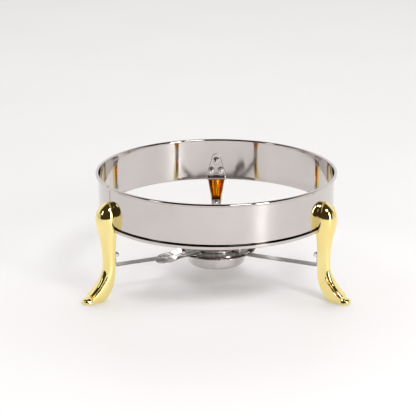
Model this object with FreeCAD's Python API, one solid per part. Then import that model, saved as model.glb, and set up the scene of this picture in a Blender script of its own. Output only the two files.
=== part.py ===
import FreeCAD, Part
import math
import os

from FreeCAD import Vector

# Round food warmer stand: a polished ring frame on three cast legs, with a fuel burner hung below it.
# Millimetres. The ring's axis is the Z axis and the floor is Z = 0 while the pieces are built.
# Each repeated piece is built on the +X side, then turned to its place round the axis.

# places round the axis, in degrees from +X
leg_angles = {"left": 210.0, "right": 330.0, "rear": 90.0}
handle_angle = 223.0
pivot_angle = 330.0

# ring
ring_inner_radius = 181.5
ring_sheet = 0.8
ring_bottom = 109.3
ring_height = 69.1
bead_radius = 2.5
bead_end_angle = -120.0
hem_depth = 3.0
hem_height = 7.5
hem_end_angle = 100.0

# leg: heights of its head are above the ring's foot, and its back stands inside the ring's wall
leg_back_inset = 1.7
leg_wall = 2.4
leg_fullness = 2.4
flute_turn = math.radians(30)
flute_spread = math.radians(9)
flute_middle = 0.45
head_top = 44.9
head_middle = 17.5
head_half_width = 18.9
head_stand_off = 23.2
channel_top_gap = 6.2
channel_foot = 22.0
hem_clearance = 0.35
boss_radius = 5.0

# studs and domed nuts: each place is (across, above the ring's foot)
stud_radius = 3.0
nut_across_flats = 10.0
nut_hex_height = 5.0
nut_height = 11.0
nut_cap = 2.5
stud_depth = 13.0
stud_clearance = 0.3
stud_spots = ((0.0, 32.5), (-7.5, 15.9), (7.5, 15.9))

# backing plate inside the ring at each leg, with its heights above the ring's foot
plate_thickness = 1.5
plate_height = 44.5
plate_top_half_width = 7.5
plate_foot_half_width = 15.5
plate_lip_height = 7.5
plate_lip_half_width = 16.7
plate_lip_depth = 2.2

# burner tray
tray_hole_radius = 47.5
tray_width = 14.5
tray_top = 50.5
tray_sheet = 0.8
tray_hem = 2.6

# arms
arm_width = 15.0
arm_thickness = 1.5
arm_hole_gap = 3.5
arm_rivet_spacing = 8.0
arm_rise = 4.2
arm_tab_height = 20.9
arm_bend_radius = 2.0
arm_corner_radius = 5.0
arm_stud_above_bend = 15.5
arm_stud_radius = 2.5
arm_stud_depth = 10.0
arm_nut_across_flats = 8.0
arm_nut_hex_height = 4.0
arm_nut_height = 8.5
arm_nut_cap = 2.0
arm_boss_radius = 4.5

# burner cup and what is in it
cup_clearance = 1.0
cup_height = 22.5
cup_draft = 2.0
cup_corner = 5.0
cup_sheet = 0.6
flange_width = 3.5
opening_edge = 8.0
collar_height = 3.5
wick_height = 14.0
wick_clearance = 1.6
gauze_thickness = 0.6
gauze_hole_radius = 2.2
gauze_rows = 3

# snuffer: its disc and its pivot lie this far inside the cup's edge
lid_margin = 12.5
pivot_margin = 6.0
lid_sheet = 0.7
lid_skirt = 2.2
lid_gap = 0.4
ear_radius = 7.0
pivot_radius = 1.5
pivot_clearance = 0.05
pivot_head_radius = 4.0
pivot_head_height = 1.2
spacer_radius = 4.0

# handles, both of sheet with a broad rounded end, with their reach measured from the tray's edge
handle_sheet = 1.0
handle_root_half_width = 11.0
handle_rivet_spacing = 14.0
burner_handle_reach = 60.0
burner_handle_rise = 2.5
burner_handle_half_width = 13.0
snuffer_handle_reach = 57.0
snuffer_handle_rise = 7.2
snuffer_handle_half_width = 10.0
neck_half_width = 6.5

# rivets
rivet_radius = 1.5
rivet_head_radius = 2.9
rivet_head_height = 0.8
rivet_hole_clearance = 0.05

# sizes that follow from the ones above
ring_outer_radius = ring_inner_radius + ring_sheet
ring_top = ring_bottom + ring_height
leg_back = ring_inner_radius - leg_back_inset
leg_top = ring_bottom + head_top
channel_top = leg_top - channel_top_gap
stud_hole_radius = stud_radius + stud_clearance
stud_places = [(y, ring_bottom + z) for y, z in stud_spots]
plate_top = ring_bottom + plate_height
plate_lip_top = ring_bottom + plate_lip_height
tray_radius = tray_hole_radius + tray_width
tray_underside = tray_top - tray_sheet
arm_inner_end = tray_hole_radius + arm_hole_gap
arm_bend_start = tray_radius + 1.0
arm_tab_inner = leg_back - arm_thickness
arm_outer_height = tray_underside + arm_rise
arm_tab_top = arm_outer_height + arm_tab_height
arm_stud_height = arm_outer_height + arm_stud_above_bend
arm_rivet_place = (arm_inner_end + tray_radius - tray_hem) / 2
cup_radius = tray_hole_radius - cup_clearance
cup_bottom = tray_top - cup_height
flange_radius = cup_radius + flange_width
plate_level = tray_top + cup_sheet
plate_upper = plate_level + cup_sheet
wick_top = cup_bottom + cup_sheet + wick_height
lid_radius = cup_radius - lid_margin
opening_radius = lid_radius - opening_edge
pivot_reach = cup_radius - pivot_margin
pivot_x = pivot_reach * math.cos(math.radians(pivot_angle))
pivot_y = pivot_reach * math.sin(math.radians(pivot_angle))
lid_upper = plate_upper + lid_gap + lid_skirt
lid_lower = lid_upper - lid_sheet
handle_rivet_place = cup_radius - cup_sheet - rivet_head_radius - 1.0
rivet_spots = ((arm_rivet_place, -arm_rivet_spacing / 2), (arm_rivet_place, arm_rivet_spacing / 2))
handle_rivet_spots = (
    (handle_rivet_place, -handle_rivet_spacing / 2), (handle_rivet_place, handle_rivet_spacing / 2)
)
snuffer_rivet_spots = ((lid_radius - 18.0, 0.0), (lid_radius - 8.0, 0.0))


def spin(shape, angle):
    """A copy of the shape turned about the ring's axis."""
    turned = shape.copy()
    turned.rotate(Vector(0, 0, 0), Vector(0, 0, 1), angle)
    return turned


def cylinder(radius, height, base, axis=Vector(0, 0, 1)):
    return Part.makeCylinder(radius, height, base, axis)


def arc_edge(x, z, radius, start, end):
    """An arc in the XZ plane about (x, z), between two angles in degrees."""
    angles = [math.radians(a) for a in (start, (start + end) / 2, end)]
    points = [Vector(x + radius * math.cos(a), 0, z + radius * math.sin(a)) for a in angles]
    return Part.Arc(*points).toShape()


def line_edge(x0, z0, x1, z1):
    return Part.LineSegment(Vector(x0, 0, z0), Vector(x1, 0, z1)).toShape()


def revolved(edges):
    face = Part.Face(Part.Wire(edges))
    return face.revolve(Vector(0, 0, 0), Vector(0, 0, 1), 360)


def polygon_xz(points):
    """Edges of a closed outline in the XZ plane."""
    closed = list(points) + [points[0]]
    return [line_edge(*a, *b) for a, b in zip(closed, closed[1:])]


def prism_xz(points, half_width):
    """An outline in the XZ plane, carried half_width to each side along Y."""
    face = Part.Face(Part.Wire(polygon_xz(points)))
    solid = face.extrude(Vector(0, 2 * half_width, 0))
    solid.translate(Vector(0, -half_width, 0))
    return solid


def box(x0, x1, y0, y1, z0, z1):
    return Part.makeBox(x1 - x0, y1 - y0, z1 - z0, Vector(x0, y0, z0))


def fillet_where(shape, radius, chosen):
    edges = [e for e in shape.Edges if chosen(e)]
    return shape.makeFillet(radius, edges)


def domed_nut(across_flats, hex_height, height, bore_radius, bore_depth):
    """A cap nut along +X with its flat face at X = 0: a hexagon with its corners turned, and a dome."""
    corner = across_flats / math.sqrt(3)
    points = [
        Vector(0, corner * math.cos(math.radians(60 * i)), corner * math.sin(math.radians(60 * i)))
        for i in range(7)
    ]
    hexagon = Part.Face(Part.makePolygon(points)).extrude(Vector(hex_height, 0, 0))
    dome_radius = 0.47 * across_flats
    straight = height - dome_radius
    dome = cylinder(dome_radius, straight, Vector(0, 0, 0), Vector(1, 0, 0))
    dome = dome.fuse(Part.makeSphere(dome_radius, Vector(straight, 0, 0)))
    dome = dome.common(box(0, height, -corner, corner, -corner, corner))
    turning = Part.makeSphere(corner * 1.02, Vector(hex_height * 0.35, 0, 0))
    nut = hexagon.common(turning).fuse(dome).removeSplitter()
    return nut.cut(cylinder(bore_radius, bore_depth, Vector(0, 0, 0), Vector(1, 0, 0)))


def rivet(x, y, low, high):
    """A rivet along Z that holds what lies between two levels, with a low round head at each end."""
    shank = cylinder(rivet_radius, high - low, Vector(x, y, low))
    heads = []
    for level, side in ((high, 1), (low, -1)):
        sphere_radius = (rivet_head_radius ** 2 + rivet_head_height ** 2) / (2 * rivet_head_height)
        centre = level + side * (rivet_head_height - sphere_radius)
        sphere = Part.makeSphere(sphere_radius, Vector(x, y, centre))
        bottom = level if side > 0 else level - rivet_head_height
        heads.append(sphere.common(cylinder(rivet_head_radius, rivet_head_height, Vector(x, y, bottom))))
    return shank.fuse(heads).removeSplitter()


# ---- ring ----

def ring_profile():
    """The band's sheet in section: wall, rolled bead at the top and flattened hem at the bottom."""
    bead_x = ring_inner_radius + bead_radius
    bead_z = ring_top - bead_radius
    bead_inside = bead_radius - ring_sheet
    hem_radius = hem_depth / 2
    hem_inside = hem_radius - ring_sheet
    hem_x = ring_inner_radius + hem_radius
    hem_low = ring_bottom + hem_radius
    hem_high = ring_bottom + hem_height - hem_radius

    def at(x, z, radius, angle):
        return x + radius * math.cos(math.radians(angle)), z + radius * math.sin(math.radians(angle))

    bead_ends = at(bead_x, bead_z, bead_radius, bead_end_angle)
    bead_ends += at(bead_x, bead_z, bead_inside, bead_end_angle)
    hem_ends = at(hem_x, hem_high, hem_inside, hem_end_angle) + at(hem_x, hem_high, hem_radius, hem_end_angle)
    return [
        line_edge(ring_inner_radius, hem_low, ring_inner_radius, bead_z),
        arc_edge(bead_x, bead_z, bead_radius, 180, bead_end_angle),
        line_edge(*bead_ends),
        arc_edge(bead_x, bead_z, bead_inside, bead_end_angle, 180),
        line_edge(ring_outer_radius, bead_z, ring_outer_radius, hem_low),
        arc_edge(hem_x, hem_low, hem_inside, 180, 360),
        line_edge(hem_x + hem_inside, hem_low, hem_x + hem_inside, hem_high),
        arc_edge(hem_x, hem_high, hem_inside, 0, hem_end_angle),
        line_edge(*hem_ends),
        arc_edge(hem_x, hem_high, hem_radius, hem_end_angle, 0),
        line_edge(hem_x + hem_radius, hem_high, hem_x + hem_radius, hem_low),
        arc_edge(hem_x, hem_low, hem_radius, 360, 180),
    ]


def ring_band():
    band = revolved(ring_profile())
    drills = []
    for angle in leg_angles.values():
        for y, z in stud_places:
            start = Vector(ring_inner_radius - 10, y, z)
            drills.append(spin(cylinder(stud_hole_radius, 20, start, Vector(1, 0, 0)), angle))
    return band.cut(drills)


# ---- legs ----

def leg_stations():
    """Sections down the leg: back x and z, front x and z, half width, and how deep its two flutes are."""
    middle = ring_bottom + head_middle
    head_front = ring_outer_radius + head_stand_off
    rows = []
    for share in (0.992, 0.93, 0.78, 0.52, 0.25, 0.0):
        z = middle + share * (leg_top - middle)
        swell = math.sqrt(1 - share ** 2)
        front = ring_outer_radius + head_stand_off * swell
        rows.append((leg_back, z, front, z, head_half_width * swell, 0.0))
    # head and shaft: height as a share of the ring's foot, set-back from the head's front, half width
    for share, set_back, half_width in (
        (1.078, 0.7, 18.0), (1.010, 2.2, 16.3), (0.940, 4.1, 14.4),
        (0.867, 5.7, 13.2), (0.726, 7.6, 10.3), (0.584, 8.5, 9.0),
    ):
        z = share * ring_bottom
        rows.append((leg_back, z, head_front - set_back, z + 0.6, half_width, 0.0))
    # foot: back and front as (out from the leg's back, height)
    for back_out, back_z, front_out, front_z, half_width, flute in (
        (0.0, 49.8, 17.4, 54.3, 8.8, 0.0), (1.4, 35.8, 19.6, 43.3, 8.9, 0.2),
        (5.2, 22.3, 23.6, 33.8, 9.2, 1.1), (11.8, 10.3, 29.4, 25.4, 9.5, 2.4),
        (21.0, 1.8, 35.6, 18.8, 9.8, 2.5), (30.8, -1.0, 40.6, 13.8, 10.2, 2.0),
        (40.8, -1.2, 44.8, 9.4, 10.3, 0.2), (47.6, -1.2, 49.2, 7.8, 9.2, 0.0),
        (51.2, -0.6, 51.9, 6.4, 5.6, 0.0), (52.4, 1.2, 52.4, 4.2, 1.6, 0.0),
    ):
        rows.append((leg_back + back_out, back_z, leg_back + front_out, front_z, half_width, flute))
    return rows


def leg_section(row, inset, points=37):
    """A closed section: a full rounded front, a flute on each of its shoulders, and a straight back."""
    back_x, back_z, front_x, front_z, half_width, flute = row
    depth = math.hypot(front_x - back_x, front_z - back_z)
    toward_x = (front_x - back_x) / depth
    toward_z = (front_z - back_z) / depth
    width = half_width - inset
    reach = depth - inset
    behind = -leg_wall if inset else 0.0
    curve = []
    for i in range(points):
        turn = math.pi * i / (points - 1)
        across = math.copysign(abs(math.cos(turn)) ** (2 / leg_fullness), math.cos(turn))
        along = math.sin(turn) ** (2 / leg_fullness)
        # a flute draws the section in toward its middle
        off_flute = min(abs(turn - flute_turn), abs(math.pi - turn - flute_turn))
        shrink = 1 - (0 if inset else flute * math.exp(-((off_flute / flute_spread) ** 2)) / half_width)
        out = behind + (reach - behind) * along
        out = reach * flute_middle + (out - reach * flute_middle) * shrink
        curve.append(Vector(back_x + toward_x * out, -width * across * shrink, back_z + toward_z * out))
    front = Part.BSplineCurve()
    front.interpolate(curve)
    return Part.Wire([front.toShape(), Part.LineSegment(curve[-1], curve[0]).toShape()])


def leg_body():
    """The casting before the holes: outer skin less the channel up its back, its bosses left standing."""
    rows = leg_stations()
    skin = Part.makeLoft([leg_section(row, 0.0) for row in rows], True, False)
    hollow_rows = [row for row in rows if channel_foot - 1 < row[1] < channel_top]
    hollow = Part.makeLoft([leg_section(row, leg_wall) for row in hollow_rows], True, False)
    outward = Vector(1, 0, 0)
    bosses = [cylinder(boss_radius, 60, Vector(leg_back - 10, y, z), outward) for y, z in stud_places]
    bosses.append(cylinder(arm_boss_radius, 60, Vector(leg_back - 10, 0, arm_stud_height), outward))
    casting = skin.cut(hollow.cut(bosses))
    reach = leg_back + 80
    ground = box(leg_back - 20, reach, -40, 40, -20, 0)
    above_ring_foot = cylinder(ring_outer_radius, leg_top, Vector(0, 0, ring_bottom))
    hem_space = cylinder(
        ring_inner_radius + hem_depth + hem_clearance, hem_height + hem_clearance, Vector(0, 0, ring_bottom)
    )
    behind = box(leg_back - 40, leg_back, -40, 40, 0, ring_bottom)
    return casting.cut([ground, above_ring_foot, hem_space, behind])


def leg():
    body = leg_body()
    outward = Vector(1, 0, 0)
    tapped = [
        cylinder(stud_radius, stud_depth + ring_outer_radius - leg_back, Vector(leg_back, y, z), outward)
        for y, z in stud_places
    ]
    tapped.append(cylinder(arm_stud_radius, arm_stud_depth, Vector(leg_back, 0, arm_stud_height), outward))
    whole = body.cut(tapped)
    return max(whole.Solids, key=lambda s: s.Volume)


def leg_studs():
    outer = ring_outer_radius + stud_depth
    inner = ring_inner_radius - plate_thickness - nut_height + nut_cap + 0.5
    outward = Vector(1, 0, 0)
    return [cylinder(stud_radius, outer - inner, Vector(inner, y, z), outward) for y, z in stud_places]


def leg_nuts():
    face = ring_inner_radius - plate_thickness
    bore_depth = nut_height - nut_cap
    nuts = []
    for y, z in stud_places:
        seat = math.sqrt(face ** 2 - (abs(y) + nut_across_flats / math.sqrt(3)) ** 2)
        nut = domed_nut(nut_across_flats, nut_hex_height, nut_height, stud_radius, bore_depth)
        nut.rotate(Vector(0, 0, 0), Vector(0, 0, 1), 180)
        nut.translate(Vector(seat, y, z))
        nuts.append(nut)
    return nuts


def backing_plate():
    """An arched plate bent to the ring's inside, with a thicker lip along its lower edge."""
    face = ring_inner_radius - plate_thickness
    top_round = plate_top - plate_top_half_width
    outline = [(plate_foot_half_width, ring_bottom), (plate_foot_half_width, plate_lip_top + 3)]
    outline.append((plate_top_half_width, top_round))
    for i in range(1, 12):
        turn = math.radians(15 * i)
        y = plate_top_half_width * math.cos(turn)
        outline.append((y, top_round + plate_top_half_width * math.sin(turn)))
    outline += [(-y, z) for y, z in outline[2::-1]]
    blank = Part.Face(Part.makePolygon([Vector(0, y, z) for y, z in outline + outline[:1]]))
    blank = blank.extrude(Vector(ring_outer_radius, 0, 0))
    height = plate_top - ring_bottom + 2
    base = Vector(0, 0, ring_bottom)
    shell = cylinder(ring_inner_radius, height, base).cut(cylinder(face, height, base))
    plate = blank.common(shell)

    lip_inner = face - plate_lip_depth
    lip_points = [
        (plate_lip_half_width, ring_bottom), (plate_foot_half_width - 1, plate_lip_top),
        (1 - plate_foot_half_width, plate_lip_top), (-plate_lip_half_width, ring_bottom),
    ]
    lip_blank = Part.Face(Part.makePolygon([Vector(0, y, z) for y, z in lip_points + lip_points[:1]]))
    lip_blank = lip_blank.extrude(Vector(ring_outer_radius, 0, 0))
    lip_height = plate_lip_top - ring_bottom
    lip_shell = cylinder(ring_inner_radius, lip_height, base).cut(
        Part.makeCone(lip_inner, face, lip_height, base)
    )
    plate = plate.fuse(lip_blank.common(lip_shell)).removeSplitter()
    flats = []
    drills = []
    for y, z in stud_places:
        seat = math.sqrt(face ** 2 - (abs(y) + nut_across_flats / math.sqrt(3)) ** 2)
        flats.append(cylinder(nut_across_flats * 0.6, 10, Vector(seat - 10, y, z), Vector(1, 0, 0)))
        drills.append(cylinder(stud_hole_radius, 20, Vector(face - 8, y, z), Vector(1, 0, 0)))
    return plate.cut(flats + drills)


# ---- burner tray and arms ----

def burner_tray():
    """A flat ring with its outer edge folded back on itself and rounded."""
    fold = tray_sheet * 2
    round_radius = fold / 2
    edge = tray_radius - round_radius
    inner = tray_radius - tray_hem
    middle = tray_underside + round_radius
    profile = [
        line_edge(tray_hole_radius, tray_underside, edge, tray_underside),
        arc_edge(edge, middle, round_radius, -90, 90),
        line_edge(edge, tray_underside + fold, inner, tray_underside + fold),
        line_edge(inner, tray_underside + fold, inner, tray_top),
        line_edge(inner, tray_top, tray_hole_radius, tray_top),
        line_edge(tray_hole_radius, tray_top, tray_hole_radius, tray_underside),
    ]
    hole = rivet_radius + rivet_hole_clearance
    drills = []
    for angle in leg_angles.values():
        drills += [spin(cylinder(hole, 10, Vector(x, y, tray_top - 5)), angle) for x, y in rivet_spots]
    return revolved(profile).cut(drills)


def arm():
    """A strap riveted under the tray, rising to the leg and turned up against its back."""
    low = tray_underside - arm_thickness
    slope = (arm_outer_height - tray_underside) / (arm_tab_inner - arm_bend_start)
    outline = [
        (arm_inner_end, low), (arm_bend_start, low),
        (leg_back, low + slope * (leg_back - arm_bend_start)), (leg_back, arm_tab_top),
        (arm_tab_inner, arm_tab_top), (arm_tab_inner, arm_outer_height),
        (arm_bend_start, tray_underside), (arm_inner_end, tray_underside),
    ]
    strap = prism_xz(outline, arm_width / 2)

    def along_y(edge, x, z):
        ends = [v.Point for v in edge.Vertexes]
        return len(ends) == 2 and all(math.hypot(p.x - x, p.z - z) < 0.01 for p in ends)

    inside = (arm_tab_inner, arm_outer_height)
    outside = (leg_back, low + slope * (leg_back - arm_bend_start))
    strap = fillet_where(strap, arm_bend_radius, lambda e: along_y(e, *inside))
    strap = fillet_where(strap, arm_bend_radius + arm_thickness, lambda e: along_y(e, *outside))

    def end_corner(edge):
        ends = [v.Point for v in edge.Vertexes]
        level = all(abs(p.z - arm_tab_top) < 0.01 for p in ends)
        inner = all(abs(p.x - arm_inner_end) < 0.01 for p in ends)
        short = abs(edge.Length - arm_thickness) < 0.01
        return short and (level or inner)

    strap = fillet_where(strap, arm_corner_radius, end_corner)
    hole = rivet_radius + rivet_hole_clearance
    drills = [cylinder(hole, 10, Vector(x, y, tray_underside - 5)) for x, y in rivet_spots]
    stud_hole = arm_stud_radius + rivet_hole_clearance
    drills.append(cylinder(stud_hole, 20, Vector(leg_back - 10, 0, arm_stud_height), Vector(1, 0, 0)))
    return strap.cut(drills)


def arm_stud():
    inner = arm_tab_inner - arm_nut_height + arm_nut_cap + 0.5
    outer = leg_back + arm_stud_depth
    return cylinder(arm_stud_radius, outer - inner, Vector(inner, 0, arm_stud_height), Vector(1, 0, 0))


def arm_nut():
    bore_depth = arm_nut_height - arm_nut_cap
    nut = domed_nut(
        arm_nut_across_flats, arm_nut_hex_height, arm_nut_height, arm_stud_radius, bore_depth
    )
    nut.rotate(Vector(0, 0, 0), Vector(0, 0, 1), 180)
    nut.translate(Vector(arm_tab_inner, 0, arm_stud_height))
    return nut


def tray_rivets():
    low = tray_underside - arm_thickness
    found = []
    for angle in leg_angles.values():
        found += [spin(rivet(x, y, low, tray_top), angle) for x, y in rivet_spots]
    return found


# ---- burner ----

def burner_cup():
    """A drawn cup with a slight draft, a rounded foot and a flange that hangs on the tray."""
    foot_radius = cup_radius - cup_draft
    slope = cup_draft / cup_height
    inner_corner = cup_corner - cup_sheet
    low = cup_bottom
    outer_foot = foot_radius + slope * cup_corner
    profile = [
        line_edge(0, low, foot_radius - cup_corner, low),
        Part.Arc(
            Vector(foot_radius - cup_corner, 0, low),
            Vector(foot_radius - 0.29 * cup_corner, 0, low + 0.31 * cup_corner),
            Vector(outer_foot, 0, low + cup_corner),
        ).toShape(),
        line_edge(outer_foot, low + cup_corner, cup_radius, tray_top),
        line_edge(cup_radius, tray_top, flange_radius, tray_top),
        line_edge(flange_radius, tray_top, flange_radius, plate_level),
        line_edge(flange_radius, plate_level, cup_radius - cup_sheet, plate_level),
        line_edge(cup_radius - cup_sheet, plate_level, outer_foot - cup_sheet, low + cup_corner),
        Part.Arc(
            Vector(outer_foot - cup_sheet, 0, low + cup_corner),
            Vector(foot_radius - cup_sheet - 0.29 * inner_corner, 0, low + cup_sheet + 0.31 * inner_corner),
            Vector(foot_radius - cup_corner, 0, low + cup_sheet),
        ).toShape(),
        line_edge(foot_radius - cup_corner, low + cup_sheet, 0, low + cup_sheet),
        line_edge(0, low + cup_sheet, 0, low),
    ]
    return revolved(profile)


def burner_top_plate():
    """The cup's cover: a flat ring with its opening's edge turned down."""
    plate = cylinder(flange_radius, cup_sheet, Vector(0, 0, plate_level))
    collar = cylinder(opening_radius + cup_sheet, collar_height, Vector(0, 0, plate_upper - collar_height))
    opening = cylinder(opening_radius, 20, Vector(0, 0, plate_upper - 10))
    hole = rivet_radius + rivet_hole_clearance
    drills = [
        spin(cylinder(hole, 10, Vector(x, y, plate_upper - 5)), handle_angle) for x, y in handle_rivet_spots
    ]
    drills.append(cylinder(pivot_radius, 10, Vector(pivot_x, pivot_y, plate_upper - 5)))
    return plate.fuse(collar).removeSplitter().cut([opening] + drills)


def handle_blank(root, neck, widest, tip, half_width, root_half_width):
    """The handle seen from above: a narrow neck that broadens to a rounded end."""
    side = [
        (root, root_half_width), (root + 8, root_half_width), (neck, neck_half_width),
        (neck + 8, neck_half_width), (widest - 12, half_width * 0.86), (widest, half_width),
    ]
    rounding = tip - widest
    for i in range(1, 9):
        turn = math.radians(90 * i / 9)
        side.append((widest + rounding * math.sin(turn), half_width * math.cos(turn)))
    outline = side + [(tip, 0.0)] + [(x, -y) for x, y in reversed(side)]
    face = Part.Face(Part.makePolygon([Vector(x, y, 0) for x, y in outline + outline[:1]]))
    return face.extrude(Vector(0, 0, tray_top + 120))


def bent_handle(points, blank, half_width):
    """A strip that follows (x, z) points along its underside, trimmed to the blank."""
    upper = [(x, z + handle_sheet) for x, z in reversed(points)]
    return prism_xz(points + upper, half_width + 4).common(blank)


def burner_handle():
    low = plate_upper
    high = low + burner_handle_rise
    root = handle_rivet_spots[0][0] - 4
    tip = tray_radius + burner_handle_reach
    half_width = burner_handle_half_width
    blank = handle_blank(root, tray_radius, tip - 18, tip, half_width, handle_root_half_width)
    points = [(root, low), (tray_radius + 4, low), (tray_radius + 22, high), (tip + 2, high)]
    hole = rivet_radius + rivet_hole_clearance
    drills = [cylinder(hole, 10, Vector(x, y, low - 5)) for x, y in handle_rivet_spots]
    return bent_handle(points, blank, half_width).cut(drills)


def wick_pad():
    radius = cup_radius - cup_draft - wick_clearance
    pad = cylinder(radius, wick_height, Vector(0, 0, cup_bottom + cup_sheet))
    low = cup_bottom + cup_sheet
    return fillet_where(pad, cup_corner, lambda e: e.Closed and all(v.Z < low + 0.01 for v in e.Vertexes))


def wick_gauze():
    """A disc with rings of round holes that keeps the wick down."""
    radius = cup_radius - cup_draft - wick_clearance
    disc = cylinder(radius, gauze_thickness, Vector(0, 0, wick_top))
    pitch = opening_radius / (gauze_rows + 0.5)
    drills = [cylinder(gauze_hole_radius, 10, Vector(0, 0, wick_top - 5))]
    for row in range(1, gauze_rows + 1):
        for i in range(6 * row):
            drill = cylinder(gauze_hole_radius, 10, Vector(pitch * row, 0, wick_top - 5))
            drills.append(spin(drill, 60 * i / row))
    return disc.cut(drills)


def pivot_spacer():
    height = lid_lower - pivot_clearance - plate_upper
    base = Vector(pivot_x, pivot_y, plate_upper)
    return cylinder(spacer_radius, height, base).cut(cylinder(pivot_radius, height, base))


def pivot_rivet():
    """A shouldered rivet: fixed in the cover, with its upper head just clear of the lid's ear."""
    low = plate_level
    high = lid_upper + pivot_clearance
    base = Vector(pivot_x, pivot_y, low)
    shank = cylinder(pivot_radius, high - low, base)
    upper = cylinder(pivot_head_radius, pivot_head_height, Vector(pivot_x, pivot_y, high))
    crown = high + pivot_head_height / 2
    rounding = 0.7 * pivot_head_height
    upper = fillet_where(upper, rounding, lambda e: e.Closed and all(v.Z > crown for v in e.Vertexes))
    lower = cylinder(rivet_head_radius, rivet_head_height, Vector(pivot_x, pivot_y, low - rivet_head_height))
    return shank.fuse([upper, lower]).removeSplitter()


# ---- snuffer ----

def snuffer_lid():
    """A disc with a short skirt and an ear that turns on the pivot."""
    height = lid_skirt
    base = Vector(0, 0, lid_upper - height)
    disc = cylinder(lid_radius, height, base)
    disc = fillet_where(disc, 1.2, lambda e: e.Closed and all(v.Z > lid_upper - 0.01 for v in e.Vertexes))
    disc = disc.cut(cylinder(lid_radius - lid_sheet, height - lid_sheet, base))
    ear = box(lid_radius - 4, pivot_reach, -ear_radius, ear_radius, lid_lower, lid_upper)
    ear = spin(ear, pivot_angle).fuse(cylinder(ear_radius, lid_sheet, Vector(pivot_x, pivot_y, lid_lower)))
    pivot_hole = cylinder(pivot_radius + pivot_clearance, 10, Vector(pivot_x, pivot_y, lid_lower - 5))
    hole = rivet_radius + rivet_hole_clearance
    drills = [
        spin(cylinder(hole, 10, Vector(x, y, lid_lower - 5)), handle_angle) for x, y in snuffer_rivet_spots
    ]
    return disc.fuse(ear).removeSplitter().cut([pivot_hole] + drills)


def snuffer_handle():
    low = lid_upper
    high = low + snuffer_handle_rise
    root = snuffer_rivet_spots[0][0] - 6
    tip = tray_radius + snuffer_handle_reach
    half_width = snuffer_handle_half_width
    blank = handle_blank(root, lid_radius + 2, tip - 16, tip, half_width, neck_half_width)
    points = [(root, low), (tray_radius + 9, low), (tray_radius + 17, high), (tip + 2, high)]
    hole = rivet_radius + rivet_hole_clearance
    drills = [cylinder(hole, 10, Vector(x, y, low - 5)) for x, y in snuffer_rivet_spots]
    return bent_handle(points, blank, half_width).cut(drills)


def build_nodes():
    nodes = {"ring_band": [ring_band()]}
    per_leg = {
        "leg": [leg()],
        "leg_backing_plate": [backing_plate()],
        "leg_studs": leg_studs(),
        "leg_dome_nuts": leg_nuts(),
        "arm": [arm()],
        "arm_stud": [arm_stud()],
        "arm_dome_nut": [arm_nut()],
    }
    for name, solids in per_leg.items():
        for side, angle in leg_angles.items():
            nodes[f"{name}_{side}"] = [spin(s, angle) for s in solids]
    nodes["burner_tray"] = [burner_tray()]
    nodes["tray_rivets"] = tray_rivets()
    nodes["burner_cup"] = [burner_cup()]
    nodes["burner_top_plate"] = [burner_top_plate()]
    nodes["burner_handle"] = [spin(burner_handle(), handle_angle)]
    nodes["burner_handle_rivets"] = [
        spin(rivet(x, y, plate_level, plate_upper + handle_sheet), handle_angle)
        for x, y in handle_rivet_spots
    ]
    nodes["wick_pad"] = [wick_pad()]
    nodes["wick_gauze"] = [wick_gauze()]
    nodes["snuffer_pivot_spacer"] = [pivot_spacer()]
    nodes["snuffer_pivot_rivet"] = [pivot_rivet()]
    nodes["snuffer_lid"] = [snuffer_lid()]
    nodes["snuffer_handle"] = [spin(snuffer_handle(), handle_angle)]
    nodes["snuffer_handle_rivets"] = [
        spin(rivet(x, y, lid_lower, lid_upper + handle_sheet), handle_angle) for x, y in snuffer_rivet_spots
    ]
    return nodes


def main():
    """Moves the model so that its origin is the middle of its box's underside, then writes each node."""
    os.makedirs("parts", exist_ok=True)
    nodes = build_nodes()
    whole = Part.makeCompound([s for solids in nodes.values() for s in solids])
    bounds = whole.optimalBoundingBox(True, False)
    shift = Vector(-(bounds.XMin + bounds.XMax) / 2, -(bounds.YMin + bounds.YMax) / 2, -bounds.ZMin)
    print("shift", [round(v, 4) for v in shift], "size", [round(v, 3) for v in (
        bounds.XLength, bounds.YLength, bounds.ZLength)])
    for name, solids in nodes.items():
        placed = []
        for solid in solids:
            moved = solid.copy()
            moved.translate(shift)
            placed += moved.Solids
        shape = placed[0] if len(placed) == 1 else Part.makeCompound(placed)
        if not shape.isValid():
            print("not valid", name)
        shape.exportStep(f"parts/{name}.step")
        print(f"{name}: {len(placed)} solids, {shape.Volume / 1000:.2f} cm3")


main()
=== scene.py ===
import math

import bmesh
import bpy
import numpy as np
from mathutils import Euler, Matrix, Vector


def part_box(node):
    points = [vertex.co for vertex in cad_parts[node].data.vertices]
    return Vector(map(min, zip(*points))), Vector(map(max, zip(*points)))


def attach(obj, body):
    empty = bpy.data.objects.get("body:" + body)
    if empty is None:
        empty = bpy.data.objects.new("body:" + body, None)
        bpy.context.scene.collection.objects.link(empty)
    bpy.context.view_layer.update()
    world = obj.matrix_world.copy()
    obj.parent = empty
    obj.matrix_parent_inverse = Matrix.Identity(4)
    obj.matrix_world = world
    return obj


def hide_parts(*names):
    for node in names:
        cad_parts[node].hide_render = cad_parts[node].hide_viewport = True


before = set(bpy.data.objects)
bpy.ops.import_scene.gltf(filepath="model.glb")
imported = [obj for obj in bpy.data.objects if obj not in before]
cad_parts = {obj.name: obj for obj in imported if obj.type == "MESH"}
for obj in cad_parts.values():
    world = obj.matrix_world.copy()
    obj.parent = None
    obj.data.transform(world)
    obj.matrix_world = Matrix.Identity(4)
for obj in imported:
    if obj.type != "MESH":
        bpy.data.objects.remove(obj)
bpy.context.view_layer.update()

scene = bpy.context.scene
scene.view_settings.view_transform = "Standard"
mm = 0.001

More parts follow.
